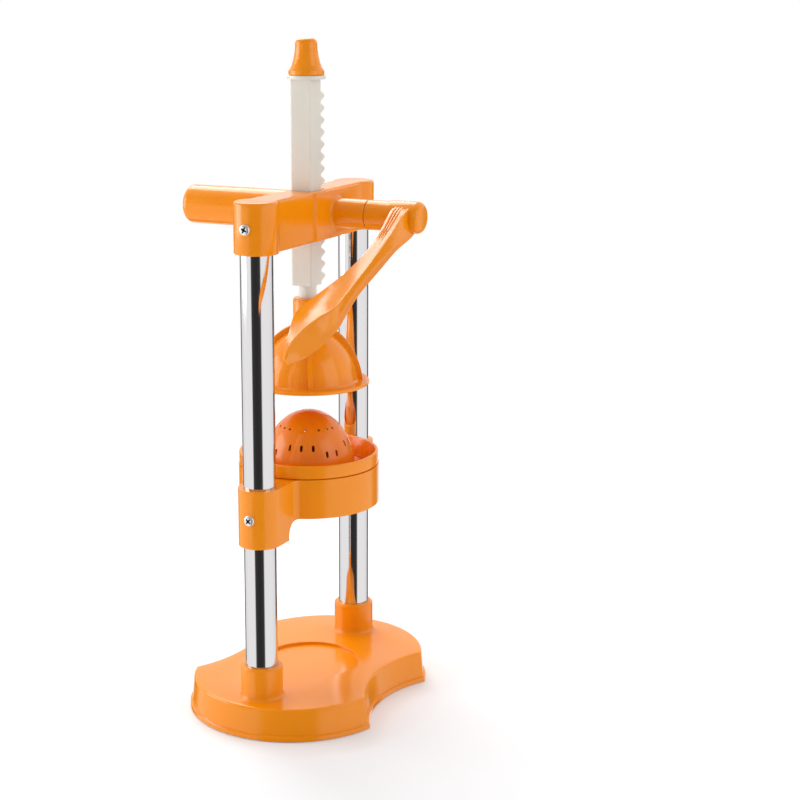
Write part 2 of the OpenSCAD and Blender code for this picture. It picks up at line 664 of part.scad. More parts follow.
module head_housing() color(orange) difference() {
    head_form();
    both_columns() translate([0, 0, head_z0 - cut])
        cylinder(r = col_r + seat_gap, h = head_h - head_roof + cut);
    for (s = [-1, 1]) translate([0, s * col_y, head_screw_z]) rotate([-s * 90, 0, 0])
        cylinder(r = cross_r + 0.2, h = 2 * head_socket_r);
    translate([-channel_w / 2, -rack_back - slide_gap, head_z0 - cut])
        cube([channel_w, rack_back + rack_tip_y + 2 * slide_gap, head_h + 2 * cut]);
    translate([-pocket_w / 2, rack_tip_y, head_z0 - cut])
        cube([pocket_w, pocket_y1 - rack_tip_y, pocket_z1 - head_z0 + cut]);
    translate([-cover_w / 2 - 0.15, cover_y0 - 0.6, head_z0 - cut])
        cube([cover_w + 0.3, cover_y1 - cover_y0 + 0.8, cover_t + cut + 0.05]);
    for (s = [-1, 1]) translate([s * cover_screw_x, cover_screw_y, head_z0])
        cylinder(r = cover_screw_r, h = 14);
    round_x() polygon([[0, tail_x - cut], [bush_r + seat_gap, tail_x - cut],
        [bush_r + seat_gap, boss_x1 + cut], [0, boss_x1 + cut]]);
    translate([grip_screw_x, shaft_y, shaft_z - tail_boss_r - cut]) cylinder(r = 1.5, h = cut + 3.2);
}

module head_screws() column_screws(head_screw_z, head_socket_r);

module pinion_cover() color(orange) difference() {
    translate([-cover_w / 2, cover_y0, head_z0]) cube([cover_w, cover_y1 - cover_y0, cover_t]);
    for (s = [-1, 1]) translate([s * cover_screw_x, cover_screw_y, head_z0 - cut]) {
        cylinder(r = cover_screw_r + 0.2, h = cover_t + 2 * cut);
        cylinder(r = 3.1, h = cut + 1);
    }
}

module cover_screws() color(steel) for (s = [-1, 1])
    translate([s * cover_screw_x, cover_screw_y, head_z0 + 1]) rotate([180, 0, 0])
        pan_screw(9, cover_screw_r - seat_gap, 2.8, 1.6);

// A plain bush on the shaft line between two places
module bush(x0, x1) color(bronze) round_x() polygon([[shaft_r + run_gap, x0], [bush_r, x0],
    [bush_r, x1], [shaft_r + run_gap, x1]]);

module left_bush() bush(tail_x, -bush_x);

module right_bush() bush(bush_x, boss_x1);

module drive_shaft() color(steel) difference() {
    round_x() polygon([[0, tail_x - 4], [shaft_r - 0.8, tail_x - 4], [shaft_r, tail_x - 3.2],
        [shaft_r, tail_x - ring_t - 0.3], [groove_r, tail_x - ring_t - 0.3], [groove_r, tail_x - 0.2],
        [shaft_r, tail_x - 0.2], [shaft_r, shaft_x1 - 0.8], [shaft_r - 0.8, shaft_x1], [0, shaft_x1]]);
    key_seat(key_floor, shaft_r + cut, seat_gap);
    translate([set_screw_x, shaft_y + shaft_r - 1, shaft_z - shaft_r])
        translate([-4, 0, 0]) cube([8, shaft_r, 2 * shaft_r]);
}

module shaft_ring() color(steel) difference() {
    round_x() polygon([[groove_r + seat_gap, tail_x - ring_t - 0.25], [ring_out_r, tail_x - ring_t - 0.25],
        [ring_out_r, tail_x - 0.25], [groove_r + seat_gap, tail_x - 0.25]]);
    translate([tail_x - 2 * ring_t, shaft_y - 2, shaft_z + groove_r - 1]) cube([3 * ring_t, 4, 5]);
}

// Angle of the pinion tooth that carries the key, counted from +Y towards +Z
pinion_phase = 180 - tooth_offset / pitch_r * 180 / PI + 180 / pinion_teeth;

// The key's block between two radii, under one pinion tooth
module key_seat(r0, r1, gap = 0) translate([0, shaft_y, shaft_z]) rotate([pinion_phase, 0, 0])
    translate([-key_l / 2 - gap, r0 - gap, -key_w / 2 - gap])
        cube([key_l + 2 * gap, r1 - r0 + gap, key_w + 2 * gap]);

// Half of the angle that a pinion tooth spans at a radius
function tooth_half(r) = let (
        base_r = pitch_r * cos(press_angle),
        a = acos(min(1, base_r / r)),
        thick = gear_m * (PI / 2 + 2 * tooth_shift * tan(press_angle)) - backlash / 2)
    thick / (2 * pitch_r) * 180 / PI + (tan(press_angle) - tan(a)) * 180 / PI - press_angle + a;

// One involute tooth round an angle, from root to tip and back
function pinion_tooth(mid) = let (
        base_r = pitch_r * cos(press_angle),
        steps = 6,
        rs = [for (i = [0:steps]) base_r + (pinion_tip_r - base_r) * i / steps])
    concat([[pinion_root_r, mid - tooth_half(base_r)]],
        [for (r = rs) [r, mid - tooth_half(r)]],
        [for (i = [steps:-1:0]) [rs[i], mid + tooth_half(rs[i])]],
        [[pinion_root_r, mid + tooth_half(base_r)]]);

module pinion_gear() color(steel) difference() {
    translate([0, shaft_y, shaft_z]) along_x(pinion_w) difference() {
        polygon([for (k = [0:pinion_teeth - 1], p = pinion_tooth(pinion_phase + k * 360 / pinion_teeth))
            p[0] * [cos(p[1]), sin(p[1])]]);
        circle(r = shaft_r + seat_gap);
    }
    key_seat(0, key_top, seat_gap);
}

module pinion_key() color(steel) key_seat(key_floor, key_top - 0.1);

module grip_handle() color(orange) difference() {
    round_x() polygon(concat([[0, grip_x1], [grip_r - grip_end_r, grip_x1]],
        arc(grip_r - grip_end_r, grip_x1 + grip_end_r, grip_end_r, 270, 360, 6),
        [[grip_r, grip_x0 - 0.8], [grip_r - 0.8, grip_x0], [0, grip_x0]]));
    round_x() polygon([[0, grip_x0 + cut], [grip_bore_r, grip_x0 + cut],
        [grip_bore_r, grip_x0 - grip_socket_l], [grip_r - grip_wall - 1.4, grip_x0 - grip_socket_l - 2],
        [grip_r - grip_wall - 1.4, grip_x1 + grip_wall + 4], [0, grip_x1 + grip_wall + 4]]);
    translate([grip_screw_x, shaft_y, shaft_z - grip_r - cut]) {
        cylinder(r = 1.7, h = grip_r);
        cylinder(r = 3.2, h = cut + 1.6);
    }
}

module grip_screw() color(steel)
    translate([grip_screw_x, shaft_y, shaft_z - grip_r + 1.6]) rotate([180, 0, 0])
        pan_screw(5.2, 1.45, 2.9, 1.5);

// Stations of the arm: share of the reach, then how far its left edge, its crease, its groove
// and its right edge lie in from the hub's end, then the heights of left edge, crease and underside
arm_stations = [
    [-0.010, 23.1, 7.6, 6.2, 6.2, hub_r - 2.2, hub_r - 2, 2 - hub_r],
    [0.058, 22.6, 7.6, 7.2, 6.4, hub_r - 1.4, hub_r - 1.3, 0.9 - hub_r],
    [0.136, 21.2, 7.6, 8.6, 6.6, 9.2, 9.4, -9.6],
    [0.204, 20.2, 7.6, 9.8, 6.6, 7.8, 8.4, -8.0],
    [0.291, 19.8, 7.6, 10.2, 6.2, 6.3, 7.4, -7.2],
    [0.388, 22.1, 7.6, 10.4, 6.6, 4.9, 5.9, -7.0],
    [0.510, 26.1, 7.6, 10.6, 7.4, 4.6, 5.6, -7.0],
    [0.631, 33.1, 7.6, 9.2, 5.2, 4.3, 5.3, -7.0],
    [0.723, 36.3, 8.1, 6.6, 2.6, 5.1, 6.1, -7.0],
    [0.777, 35.5, 13.1, 7.0, 2.6, 5.2, 6.2, -7.0],
    [0.850, 31.0, 18.4, 9.4, 4.6, 4.6, 5.5, -7.0],
    [0.922, 27.1, 20.0, 12.6, 8.6, 3.4, 4.5, -7.0],
    [0.971, 24.1, 19.6, 15.4, 13.6, 1.4, 2.5, -6.4],
    [1.000, 21.6, 19.1, 18.0, 17.4, -0.8, 0.0, -5.0]
];

// A smooth curve through the stations
function spline(p, i, t) = let (
        n = len(p) - 1,
        a = p[max(0, i - 1)], b = p[i], c = p[min(n, i + 1)], d = p[min(n, i + 2)])
    0.5 * (2 * b + (c - a) * t + (2 * a - 5 * b + 4 * c - d) * t * t + (3 * b - a - 3 * c + d) * t * t * t);

arm_path = [for (i = [0:len(arm_stations) - 2], t = [0, 0.5]) spline(arm_stations, i, t),
    arm_stations[len(arm_stations) - 1]];

// A corner of a section, rounded between its two neighbours
function round_corner(a, p, b, r) = let (
        u = p + (a - p) * min(0.45, r / norm(a - p)),
        v = p + (b - p) * min(0.45, r / norm(b - p)))
    [for (i = [0:3]) let (t = i / 3) u * pow(1 - t, 2) + p * 2 * t * (1 - t) + v * t * t];

// The arm's cross-section: a flat top with three ribs at the root, a hollowed right side with a rim
function arm_section(s) = let (
        left = hub_x - s[1], crease = hub_x - s[2], right = hub_x - s[4],
        c = [[right, s[7]], [hub_x - s[3], s[7] + rim_h], [crease, s[6]], [left, s[5]],
             [left + rim_h, s[7]]],
        crease_arc = round_corner(c[1], c[2], c[3], 1.5), left_arc = round_corner(c[2], c[3], c[4], 2.5),
        top0 = crease_arc[3], top1 = left_arc[0],
        fade = max(0, min(1 - s[0] / arm_rib_end, (s[0] - arm_rib_start) / 0.12)))
    concat(
        round_corner(c[4], c[0], c[1], 2.5), round_corner(c[0], c[1], c[2], 1.5), crease_arc,
        [for (i = [1:12])
            top0 + (top1 - top0) * i / 13 + [0, i < 5 || i % 3 == 1 ? 0 : arm_rib_h * min(1, 2 * fade)]],
        left_arc, round_corner(c[3], c[4], c[0], 3));

// Places a section's point along the sloping arm
function on_arm(s, p) = [p[0],
    shaft_y - s[0] * arm_reach * cos(arm_slope) - p[1] * sin(arm_slope),
    shaft_z - s[0] * arm_reach * sin(arm_slope) + p[1] * cos(arm_slope)];

// A closed skin over rings of equal point counts
module skin(rings) {
    n = len(rings[0]);
    m = len(rings);
    polyhedron([for (r = rings, p = r) p], concat(
        [[for (i = [0:n - 1]) i]],
        [for (j = [0:m - 2], i = [0:n - 1]) let (k = (i + 1) % n)
            each [[j * n + i, (j + 1) * n + i, j * n + k], [j * n + k, (j + 1) * n + i, (j + 1) * n + k]]],
        [[for (i = [n - 1:-1:0]) (m - 1) * n + i]]));
}

module lever_handle() color(orange) difference() {
    union() {
        round_x() polygon(concat([[0, hub_x0], [boss_r - 0.5, hub_x0], [boss_r, hub_x0 + 0.5],
            [boss_r, hub_x0 + 16], [hub_r, hub_x0 + 22]],
            arc(hub_r - 5, hub_x - 5, 5, 0, 90, 6), [[0, hub_x]]));
        skin([for (s = arm_path) [for (p = arm_section(s)) on_arm(s, p)]]);
    }
    round_x() polygon([[0, hub_x0 - cut], [shaft_r + seat_gap, hub_x0 - cut],
        [shaft_r + seat_gap, shaft_x1 + 0.3], [0, shaft_x1 + 0.3]]);
    translate([set_screw_x, shaft_y, shaft_z]) rotate([-90, 0, 0]) cylinder(r = set_screw_r, h = 2 * hub_r);
}

module lever_set_screw() color(steel)
    translate([set_screw_x, shaft_y + shaft_r - 0.7, shaft_z]) rotate([-90, 0, 0]) difference() {
        cylinder(r = set_screw_r - seat_gap, h = boss_r - shaft_r + 0.2);
        translate([0, 0, 3]) cylinder(r = 1.4, h = boss_r, $fn = 6);
    }

base_body();
base_feet();
base_bolts();
base_washers();
column_plugs();
front_column();
rear_column();
bowl_bracket();
bracket_screws();
juice_bowl();
strainer_cone();
press_cup();
cup_screw();
cup_washer();
gear_rack();
rack_cap();
head_housing();
head_screws();
pinion_cover();
cover_screws();
left_bush();
right_bush();
drive_shaft();
shaft_ring();
pinion_gear();
pinion_key();
grip_handle();
grip_screw();
lever_handle();
lever_set_screw();
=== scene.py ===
import bpy, bmesh, json, math
from mathutils import Matrix, Vector

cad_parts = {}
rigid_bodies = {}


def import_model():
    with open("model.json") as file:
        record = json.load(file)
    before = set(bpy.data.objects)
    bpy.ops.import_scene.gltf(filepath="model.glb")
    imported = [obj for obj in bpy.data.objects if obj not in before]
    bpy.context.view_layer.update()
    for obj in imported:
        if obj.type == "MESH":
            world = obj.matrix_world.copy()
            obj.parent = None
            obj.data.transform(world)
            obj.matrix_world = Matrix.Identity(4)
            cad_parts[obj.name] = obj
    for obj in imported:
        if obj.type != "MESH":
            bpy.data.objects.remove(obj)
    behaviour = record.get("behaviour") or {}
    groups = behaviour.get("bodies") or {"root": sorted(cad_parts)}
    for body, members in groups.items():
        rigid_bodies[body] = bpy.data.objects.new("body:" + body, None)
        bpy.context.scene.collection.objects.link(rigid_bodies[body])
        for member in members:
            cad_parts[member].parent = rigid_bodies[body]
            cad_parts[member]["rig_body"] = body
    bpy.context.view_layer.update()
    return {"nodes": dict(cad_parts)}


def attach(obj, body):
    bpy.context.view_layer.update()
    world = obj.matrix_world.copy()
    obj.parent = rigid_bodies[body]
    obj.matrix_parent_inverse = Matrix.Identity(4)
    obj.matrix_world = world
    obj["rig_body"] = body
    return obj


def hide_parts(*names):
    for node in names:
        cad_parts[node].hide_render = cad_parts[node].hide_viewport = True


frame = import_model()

scene = bpy.context.scene

# ---------------------------------------------------------------- Studio
# A white table top in a white room, with one soft lamp behind and above and one at either side.
# Dark flags, at the camera and behind the press, give the polished tubes their dark lines.

camera_place = (0.6431, -1.2229, 0.5742)
camera_turn, camera_dip, camera_roll = (math.radians(degrees) for degrees in (24.68, 13.28, -0.33))
picture_px, focal_px, sensor_mm = 800, 1758.9, 36
toward_flag = (0.373, -0.928, 0)    # the level way from the press to the camera's flag
lamps = (("Rear top lamp", (-0.74, 0.8, 1.48), 15), ("Left lamp", (-1.4, -0.6, 0.55), 11),
         ("Right lamp", (1.5, -0.1, 0.9), 4))    # name, place in m, watts
lamp_size, lamps_aim = 1.0, Vector((0, 0, 0.25))
# Grey of the room as metal sees it, from straight behind the press (0) round to the camera (1).
room_greys = ((0.0, 1.0), (0.03, 1.0), (0.045, 0.06), (0.14, 0.06), (0.19, 0.9), (0.5, 1.0),
              (0.905, 1.0), (0.94, 0.05), (1.0, 0.03))

def srgb(code):
    """A colour written as sRGB hex, in the linear values that Blender uses."""
    parts = [int(code[i:i + 2], 16) / 255 for i in (1, 3, 5)]
    return tuple(c / 12.92 if c <= 0.04045 else ((c + 0.055) / 1.055) ** 2.4 for c in parts) + (1.0,)


def add(tree, kind, links=None, **settings):
    """Adds a node, sets its properties and input values by name, and links its inputs."""
    made = tree.nodes.new(kind)
    for name, value in settings.items():
        if hasattr(made, name):
            setattr(made, name, value)
        else:
            made.inputs[name.replace("_", " ")].default_value = value
    for name, source in (links or {}).items():
        tree.links.new(source, made.inputs[name])
    return made


ahead = Vector((-math.sin(camera_turn) * math.cos(camera_dip), math.cos(camera_turn) * math.cos(camera_dip),
                -math.sin(camera_dip)))
level = Vector((math.cos(camera_turn), math.sin(camera_turn), 0))
down = ahead.cross(level)
right = level * math.cos(camera_roll) + down * math.sin(camera_roll)
down = down * math.cos(camera_roll) - level * math.sin(camera_roll)
camera = bpy.data.objects.new("Camera", bpy.data.cameras.new("Camera"))
scene.collection.objects.link(camera)
camera.data.sensor_width = sensor_mm
camera.data.lens = sensor_mm * focal_px / picture_px
camera.data.clip_start, camera.data.clip_end = 0.05, 50
camera.matrix_world = Matrix.Translation(camera_place) @ Matrix(
    (right, -down, -ahead)).transposed().to_4x4()
scene.camera = camera
scene.view_settings.view_transform = "Standard"

room = bpy.data.worlds.new("White room")
scene.world = room
room.use_nodes = True
tree = room.node_tree
tree.nodes.clear()
rays = add(tree, "ShaderNodeLightPath")
way = add(tree, "ShaderNodeTexCoord")
level_way = add(tree, "ShaderNodeVectorMath", {0: way.outputs["Generated"]}, operation="MULTIPLY")
level_way.inputs[1].default_value = (1, 1, 0)
unit_way = add(tree, "ShaderNodeVectorMath", {0: level_way.outputs[0]}, operation="NORMALIZE")
to_flag = add(tree, "ShaderNodeVectorMath", {0: unit_way.outputs[0]}, operation="DOT_PRODUCT")
to_flag.inputs[1].default_value = toward_flag
share = add(tree, "ShaderNodeMapRange", {"Value": to_flag.outputs["Value"]}, From_Min=-1.0)
flag = add(tree, "ShaderNodeValToRGB", {"Fac": share.outputs[0]})
for place, grey in room_greys:
    stop = flag.color_ramp.elements.new(place) if 0 < place < 1 else flag.color_ramp.elements[-int(place)]
    stop.color = (grey, grey, grey, 1)
# Over the horizon the room is white behind the press and dark on the camera's side.
height = add(tree, "ShaderNodeSeparateXYZ", {"Vector": way.outputs["Generated"]})
overhead = add(tree, "ShaderNodeMapRange", {"Value": height.outputs["Z"]}, From_Min=0.02, From_Max=0.12)
front = add(tree, "ShaderNodeVectorMath", {0: way.outputs["Generated"]}, operation="DOT_PRODUCT")
front.inputs[1].default_value = toward_flag
upper = add(tree, "ShaderNodeMapRange", {"Value": front.outputs["Value"]}, From_Min=-0.25, From_Max=0.3,
            To_Min=1.0, To_Max=0.22)
seen_in_metal = add(tree, "ShaderNodeMix", {"Factor": overhead.outputs[0], 6: flag.outputs["Color"],
                                            7: upper.outputs[0]}, data_type="RGBA")
# Matt surfaces get less light from the camera's side than from the others.
fill = add(tree, "ShaderNodeMapRange", {"Value": to_flag.outputs["Value"]}, From_Min=-0.2, From_Max=0.95,
          To_Min=0.95, To_Max=0.6)
plain = add(tree, "ShaderNodeBackground", {"Strength": fill.outputs[0]}, Color=(1, 0.99, 0.98, 1))
bright = add(tree, "ShaderNodeBackground", {"Color": seen_in_metal.outputs[2]}, Strength=1.0)
backdrop = add(tree, "ShaderNodeBackground", Color=(1, 1, 1, 1), Strength=1.0)
reflected = add(tree, "ShaderNodeMixShader", {0: rays.outputs["Is Glossy Ray"], 1: plain.outputs[0],
                                              2: bright.outputs[0]})
clear = add(tree, "ShaderNodeMath", {0: rays.outputs["Is Camera Ray"],
                                     1: rays.outputs["Is Transmission Ray"]}, operation="MAXIMUM")
shown = add(tree, "ShaderNodeMixShader", {0: clear.outputs[0], 1: reflected.outputs[0],
                                          2: backdrop.outputs[0]})
add(tree, "ShaderNodeOutputWorld", {"Surface": shown.outputs[0]})

for name, place, power in lamps:
    lamp = bpy.data.objects.new(name, bpy.data.lights.new(name, "AREA"))
    lamp.data.size = lamp_size
    lamp.data.energy = power
    lamp.location = place
    lamp.rotation_euler = (lamps_aim - Vector(place)).to_track_quat("-Z", "Y").to_euler()
    scene.collection.objects.link(lamp)

table = bpy.data.materials.new("White table top")
table.use_nodes = True
tree = table.node_tree
tree.nodes.clear()
rays = add(tree, "ShaderNodeLightPath")
matt = add(tree, "ShaderNodeBsdfDiffuse", Color=srgb("#F2F4F6"))
white = add(tree, "ShaderNodeEmission", {"Strength": rays.outputs["Is Camera Ray"]}, Color=(1, 1, 1, 1))
place = add(tree, "ShaderNodeTexCoord").outputs["Object"]
away = add(tree, "ShaderNodeVectorMath", {0: place}, operation="LENGTH")
# The table turns to plain white between 0.25 m and 0.8 m from the press, for the camera only.
far = add(tree, "ShaderNodeMapRange", {"Value": away.outputs["Value"]}, From_Min=0.25, From_Max=0.8,
          To_Min=0.12)
seen = add(tree, "ShaderNodeMath", {0: far.outputs[0], 1: rays.outputs["Is Camera Ray"]},
           operation="MULTIPLY")
both = add(tree, "ShaderNodeMixShader", {0: seen.outputs[0], 1: matt.outputs[0], 2: white.outputs[0]})
add(tree, "ShaderNodeOutputMaterial", {"Surface": both.outputs[0]})
ground = bpy.data.meshes.new("Table top")
reach = 9    # half the table top's width, in m
ground.from_pydata([(-reach, -reach, 0), (reach, -reach, 0), (reach, reach, 0), (-reach, reach, 0)], [],
                   [(0, 1, 2, 3)])
ground.materials.append(table)
floor = bpy.data.objects.new("Table top", ground)
scene.collection.objects.link(floor)
floor.visible_glossy = False

# ---------------------------------------------------------------- Base
# One injection moulding in glossy orange ABS, with a recess that centres the vessel.
# The two column sockets rise from it, and it stands on four pads.

weld_gap = 2e-6                       # points this near, in m, are one point
flat_angle = math.radians(0.6)        # faces that meet flatter than this are one face
corner_angle = math.radians(30)       # a sharper meeting of faces is a corner


def moulded(name, edge=0.0006, steps=2):
    """A copy of a CAD node with its corners broken as a mould leaves them, in the node's own place."""
    source = frame["nodes"][name]
    mesh = source.data.copy()
    mesh.name = name + "_skin"
    if "custom_normal" in mesh.attributes:
        mesh.attributes.remove(mesh.attributes["custom_normal"])
    work = bmesh.new()
    work.from_mesh(mesh)
    bmesh.ops.remove_doubles(work, verts=work.verts, dist=weld_gap)
    bmesh.ops.dissolve_limit(work, angle_limit=flat_angle, verts=work.verts, edges=work.edges)
    for face in work.faces:
        face.smooth = True
    for side in work.edges:
        side.smooth = len(side.link_faces) == 2 and side.calc_face_angle(0) < corner_angle
    work.to_mesh(mesh)
    work.free()
    piece = bpy.data.objects.new(name + "_skin", mesh)
    scene.collection.objects.link(piece)
    mesh.materials.clear()
    if edge:
        trim = piece.modifiers.new("Broken edges", "BEVEL")
        trim.width, trim.segments, trim.limit_method = edge, steps, "ANGLE"
        trim.angle_limit, trim.harden_normals, trim.use_clamp_overlap = corner_angle, True, True
        shaped = bpy.data.meshes.new_from_object(piece.evaluated_get(bpy.context.evaluated_depsgraph_get()))
        piece.modifiers.clear()
        piece.data = shaped
    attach(piece, source["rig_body"])
    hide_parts(name)
    return piece


def orange_abs(name, tone, deep, gloss):
    """Glossy moulded ABS, which shows sharp highlights on an even colour, with a very slight ripple."""
    made = bpy.data.materials.new(name)
    made.use_nodes = True
    tree = made.node_tree
    tree.nodes.clear()
    place = add(tree, "ShaderNodeTexCoord").outputs["Object"]
    # The pigment's flow marks are about 18 mm across.
    flow = add(tree, "ShaderNodeTexNoise", {"Vector": place}, Scale=55.0, Detail=3.0, Roughness=0.55)
    tint = add(tree, "ShaderNodeMix", {"Factor": flow.outputs["Fac"]}, data_type="RGBA")
    tint.inputs[6].default_value, tint.inputs[7].default_value = srgb(tone), srgb(deep)
    # Handling leaves patches about 7 mm across a little duller.
    haze = add(tree, "ShaderNodeTexNoise", {"Vector": place}, Scale=140.0, Detail=2.0)
    matt = add(tree, "ShaderNodeMapRange", {"Value": haze.outputs["Fac"]}, To_Min=gloss - 0.05,
               To_Max=gloss + 0.05)
    # A moulded skin's ripple is finer than a pixel, so it is drawn coarser, 1.1 mm across.
    skin = add(tree, "ShaderNodeTexNoise", {"Vector": place}, Scale=900.0, Detail=1.0)
    ripple = add(tree, "ShaderNodeBump", {"Height": skin.outputs["Fac"]}, Strength=0.12, Distance=0.00006)
    body = add(tree, "ShaderNodeBsdfPrincipled", {"Base Color": tint.outputs[2], "Roughness": matt.outputs[0],
                                                  "Normal": ripple.outputs[0]}, IOR=1.5)
    body.inputs["Subsurface Weight"].default_value = 0.08
    body.inputs["Subsurface Radius"].default_value = (0.004, 0.0015, 0.0005)
    body.inputs["Subsurface Scale"].default_value = 1.0
    add(tree, "ShaderNodeOutputMaterial", {"Surface": body.outputs[0]})
    return made


orange = orange_abs("Glossy orange ABS", "#F49208", "#F08C05", 0.17)
base = moulded("base_body", 0.0007)
base.data.materials.append(orange)

# ---------------------------------------------------------------- Feet
# Four black nitrile rubber pads pressed into seats under the base.
# They are moulded with a fine matt grain that grips the table.

rubber = bpy.data.materials.new("Black nitrile rubber")
rubber.use_nodes = True
tree = rubber.node_tree
tree.nodes.clear()
place = add(tree, "ShaderNodeTexCoord").outputs["Object"]
# The rubber's grain is finer than a pixel, so it is drawn coarser, 0.7 mm across.
grain = add(tree, "ShaderNodeTexNoise", {"Vector": place}, Scale=1400.0, Detail=2.0)
tint = add(tree, "ShaderNodeMix", {"Factor": grain.outputs["Fac"]}, data_type="RGBA")
tint.inputs[6].default_value, tint.inputs[7].default_value = srgb("#1E1E20"), srgb("#2C2C2F")
rough = add(tree, "ShaderNodeBump", {"Height": grain.outputs["Fac"]}, Strength=0.4, Distance=0.0002)
body = add(tree, "ShaderNodeBsdfPrincipled", {"Base Color": tint.outputs[2], "Normal": rough.outputs[0]},
           Roughness=0.7)
add(tree, "ShaderNodeOutputMaterial", {"Surface": body.outputs[0]})
feet = moulded("base_feet", 0.0004)
feet.data.materials.append(rubber)

# ---------------------------------------------------------------- Columns
# Two 25.4 mm stainless tubes, drawn and polished to a mirror, pressed into the base.
# The polish leaves very faint lines along the tube.

mirror = bpy.data.materials.new("Polished stainless tube")
mirror.use_nodes = True
tree = mirror.node_tree
tree.nodes.clear()
place = add(tree, "ShaderNodeTexCoord").outputs["Object"]
# Polishing lines are finer than a pixel, so they are drawn coarser, 0.6 mm wide and 80 mm long.
drawn = add(tree, "ShaderNodeMapping", {"Vector": place}, Scale=(1800, 1800, 12))
lines = add(tree, "ShaderNodeTexNoise", {"Vector": drawn.outputs[0]}, Scale=1.0, Detail=2.0)
matt = add(tree, "ShaderNodeMapRange", {"Value": lines.outputs["Fac"]}, To_Min=0.05, To_Max=0.11)
score = add(tree, "ShaderNodeBump", {"Height": lines.outputs["Fac"]}, Strength=0.03, Distance=0.00002)
body = add(tree, "ShaderNodeBsdfPrincipled", {"Roughness": matt.outputs[0], "Normal": score.outputs[0]},
           Metallic=1.0)
body.inputs["Base Color"].default_value = srgb("#E3E1E2")
add(tree, "ShaderNodeOutputMaterial", {"Surface": body.outputs[0]})
for name in ("front_column", "rear_column"):
    tube = moulded(name, 0)
    tube.data.materials.append(mirror)

# ---------------------------------------------------------------- Column fixings under the base
# Turned steel plugs in the tube ends, with a bolt and a washer in each pocket.
# Bright zinc plate, a little grainy.

zinc = bpy.data.materials.new("Bright zinc-plated steel")
zinc.use_nodes = True
tree = zinc.node_tree
tree.nodes.clear()
place = add(tree, "ShaderNodeTexCoord").outputs["Object"]
# The plating's grain is finer than a pixel, so it is drawn coarser, 1.4 mm across.
grain = add(tree, "ShaderNodeTexNoise", {"Vector": place}, Scale=700.0, Detail=3.0)
matt = add(tree, "ShaderNodeMapRange", {"Value": grain.outputs["Fac"]}, To_Min=0.18, To_Max=0.34)
pits = add(tree, "ShaderNodeBump", {"Height": grain.outputs["Fac"]}, Strength=0.08, Distance=0.00005)
body = add(tree, "ShaderNodeBsdfPrincipled", {"Roughness": matt.outputs[0], "Normal": pits.outputs[0]},
           Metallic=1.0)
body.inputs["Base Color"].default_value = srgb("#D6D6D8")
add(tree, "ShaderNodeOutputMaterial", {"Surface": body.outputs[0]})
zinc_with_painted_recess_shade = zinc.copy()
zinc_with_painted_recess_shade.name = "White zinc screw plate with painted recess shade"
tree = zinc_with_painted_recess_shade.node_tree
face = next(node for node in tree.nodes if node.type == "BSDF_PRINCIPLED")
face.inputs["Metallic"].default_value = 0.75
# The faces that the tree marks as recess are painted dark: painted shade in the cross recess.
cut = add(tree, "ShaderNodeAttribute", attribute_name="recess")
shade = add(tree, "ShaderNodeMix", {"Factor": cut.outputs["Fac"]}, data_type="RGBA")
shade.inputs[6].default_value, shade.inputs[7].default_value = srgb("#F1F0EE"), srgb("#2A2624")
tree.links.new(shade.outputs[2], face.inputs["Base Color"])
for name in ("column_plugs", "base_bolts", "base_washers"):
    piece = moulded(name, 0.0002, 1)
    piece.data.materials.append(zinc)

# ---------------------------------------------------------------- Bracket
# One orange moulding: a ring for the bowl with a socket for each tube.
# It is clamped where it is by a cross-head screw through each socket.

bracket = moulded("bowl_bracket", 0.0008)
bracket.data.materials.append(orange)

screw_tree = bpy.data.node_groups.new("Pan head with a cross recess", "GeometryNodeTree")
sizes = screw_tree.interface
sizes.new_socket(name="Seats", in_out="INPUT", socket_type="NodeSocketGeometry")
sizes.new_socket(name="Screws", in_out="OUTPUT", socket_type="NodeSocketGeometry")
for label in ("Head radius", "Head height", "Shank radius", "Shank length"):
    sizes.new_socket(name=label, in_out="INPUT", socket_type="NodeSocketFloat")
sizes.new_socket(name="Finish", in_out="INPUT", socket_type="NodeSocketMaterial")
given = add(screw_tree, "NodeGroupInput").outputs


def sum_of(kind, first, second):
    """One arithmetic step of the screw's tree."""
    step = add(screw_tree, "ShaderNodeMath", operation=kind)
    for place, value in enumerate((first, second)):
        if isinstance(value, (int, float)):
            step.inputs[place].default_value = value
        else:
            screw_tree.links.new(value, step.inputs[place])
    return step.outputs[0]


# The pan head is a ball whose sides are drawn out square and whose lower half is pressed flat.
ball = add(screw_tree, "GeometryNodeMeshUVSphere", Segments=48, Rings=28, Radius=1.0)
spot = add(screw_tree, "ShaderNodeSeparateXYZ", {0: add(screw_tree, "GeometryNodeInputPosition").outputs[0]})
out = sum_of("SQRT", sum_of("ADD", sum_of("MULTIPLY", spot.outputs[0], spot.outputs[0]),
                            sum_of("MULTIPLY", spot.outputs[1], spot.outputs[1])), 0.0)
spread = sum_of("MULTIPLY", sum_of("POWER", sum_of("MAXIMUM", out, 0.0001), -0.36), given["Head radius"])
crown = sum_of("MULTIPLY", sum_of("POWER", sum_of("MAXIMUM", spot.outputs[2], 0.0), 0.64),
               given["Head height"])
pan_place = add(screw_tree, "ShaderNodeCombineXYZ", {
    0: sum_of("MULTIPLY", spot.outputs[0], spread), 1: sum_of("MULTIPLY", spot.outputs[1], spread), 2: crown})
pan = add(screw_tree, "GeometryNodeSetPosition", {0: ball.outputs[0], "Position": pan_place.outputs[0]})
pan_closed = add(screw_tree, "GeometryNodeMergeByDistance", {0: pan.outputs[0]}, Distance=0.000001)
